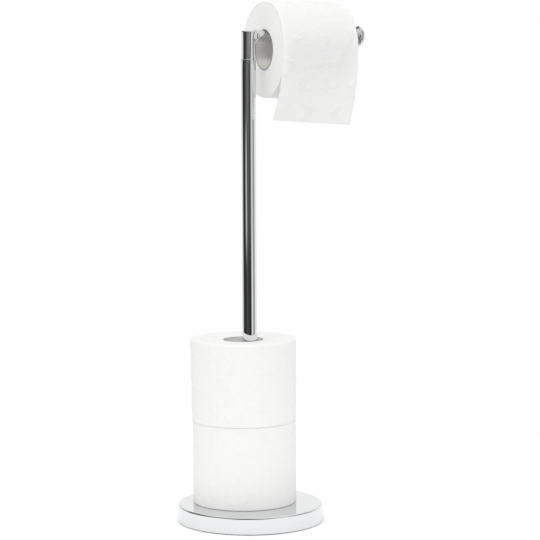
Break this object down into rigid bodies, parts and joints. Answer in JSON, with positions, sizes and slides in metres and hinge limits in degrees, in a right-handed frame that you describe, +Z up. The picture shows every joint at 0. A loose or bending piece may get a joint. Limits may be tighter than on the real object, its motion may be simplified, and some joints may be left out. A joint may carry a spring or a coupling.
{
  "type": "toilet roll storage holder",
  "caption": "Free-standing toilet roll holder: a weighted round base, a pole that stores spare rolls, and a lift-off swivelling head whose side arm carries the roll in use.",
  "frame": {"origin": "centre of the base's underside, on the floor", "axes": "+Z up along the pole; +X along the arm, from the pole to the end knob"},
  "size_m": [0.218, 0.158, 0.5628],
  "materials": {
    "chrome_plate": "polished",
    "cast_weight": "matte",
    "foam_pad": "matte",
    "zinc_steel": "satin",
    "nylon_sleeve": "satin",
    "tissue": "matte",
    "tissue_sheet": "matte",
    "card_core": "matte"
  },
  "bodies": {
    "stand": {"base_cover": "chrome_plate", "base_weight": "cast_weight", "foot_pad": "foam_pad", "base_screw": "zinc_steel", "flat_washer": "zinc_steel", "spring_washer": "zinc_steel", "pole_plug": "zinc_steel", "pole_tube": "chrome_plate"},
    "sleeve": {"head_sleeve": "nylon_sleeve"},
    "head": {"head_spigot": "zinc_steel", "sleeve_screw": "zinc_steel", "head_post": "chrome_plate", "head_cap": "chrome_plate", "arm_collar": "chrome_plate", "arm_tube": "chrome_plate", "arm_root_plug": "zinc_steel", "arm_root_stud": "zinc_steel", "arm_end_plug": "zinc_steel", "knob_stud": "zinc_steel", "end_knob": "chrome_plate"},
    "sheet": {"loose_sheet": "tissue_sheet"},
    "roll": {"roll_tissue": "tissue", "roll_core": "card_core"},
    "lower_roll": {"lower_tissue": "tissue", "lower_core": "card_core"},
    "upper_roll": {"upper_tissue": "tissue", "upper_core": "card_core"}
  },
  "joints": [
    {"name": "head_lift", "type": "slide", "parent": "stand", "child": "sleeve", "axis": [0, 0, 1], "range_m": [0, 0.06]},
    {"name": "head_swivel", "type": "hinge", "parent": "sleeve", "child": "head", "pos_m": [0, 0, 0.48], "axis": [0, 0, 1], "continuous": true},
    {"name": "roll_draw_off", "type": "slide", "parent": "head", "child": "sheet", "axis": [0.9794, 0, 0.2018], "range_m": [0, 0.127]},
    {"name": "roll_spin", "type": "hinge", "parent": "sheet", "child": "roll", "pos_m": [0.0635, 0, 0.51055], "axis": [1, 0, 0], "continuous": true},
    {"name": "lower_roll_lift", "type": "slide", "parent": "stand", "child": "lower_roll", "axis": [0, 0, 1], "range_m": [0, 0.1]},
    {"name": "upper_roll_lift", "type": "slide", "parent": "lower_roll", "child": "upper_roll", "axis": [0, 0, 1], "range_m": [0, 0.12]}
  ]
}
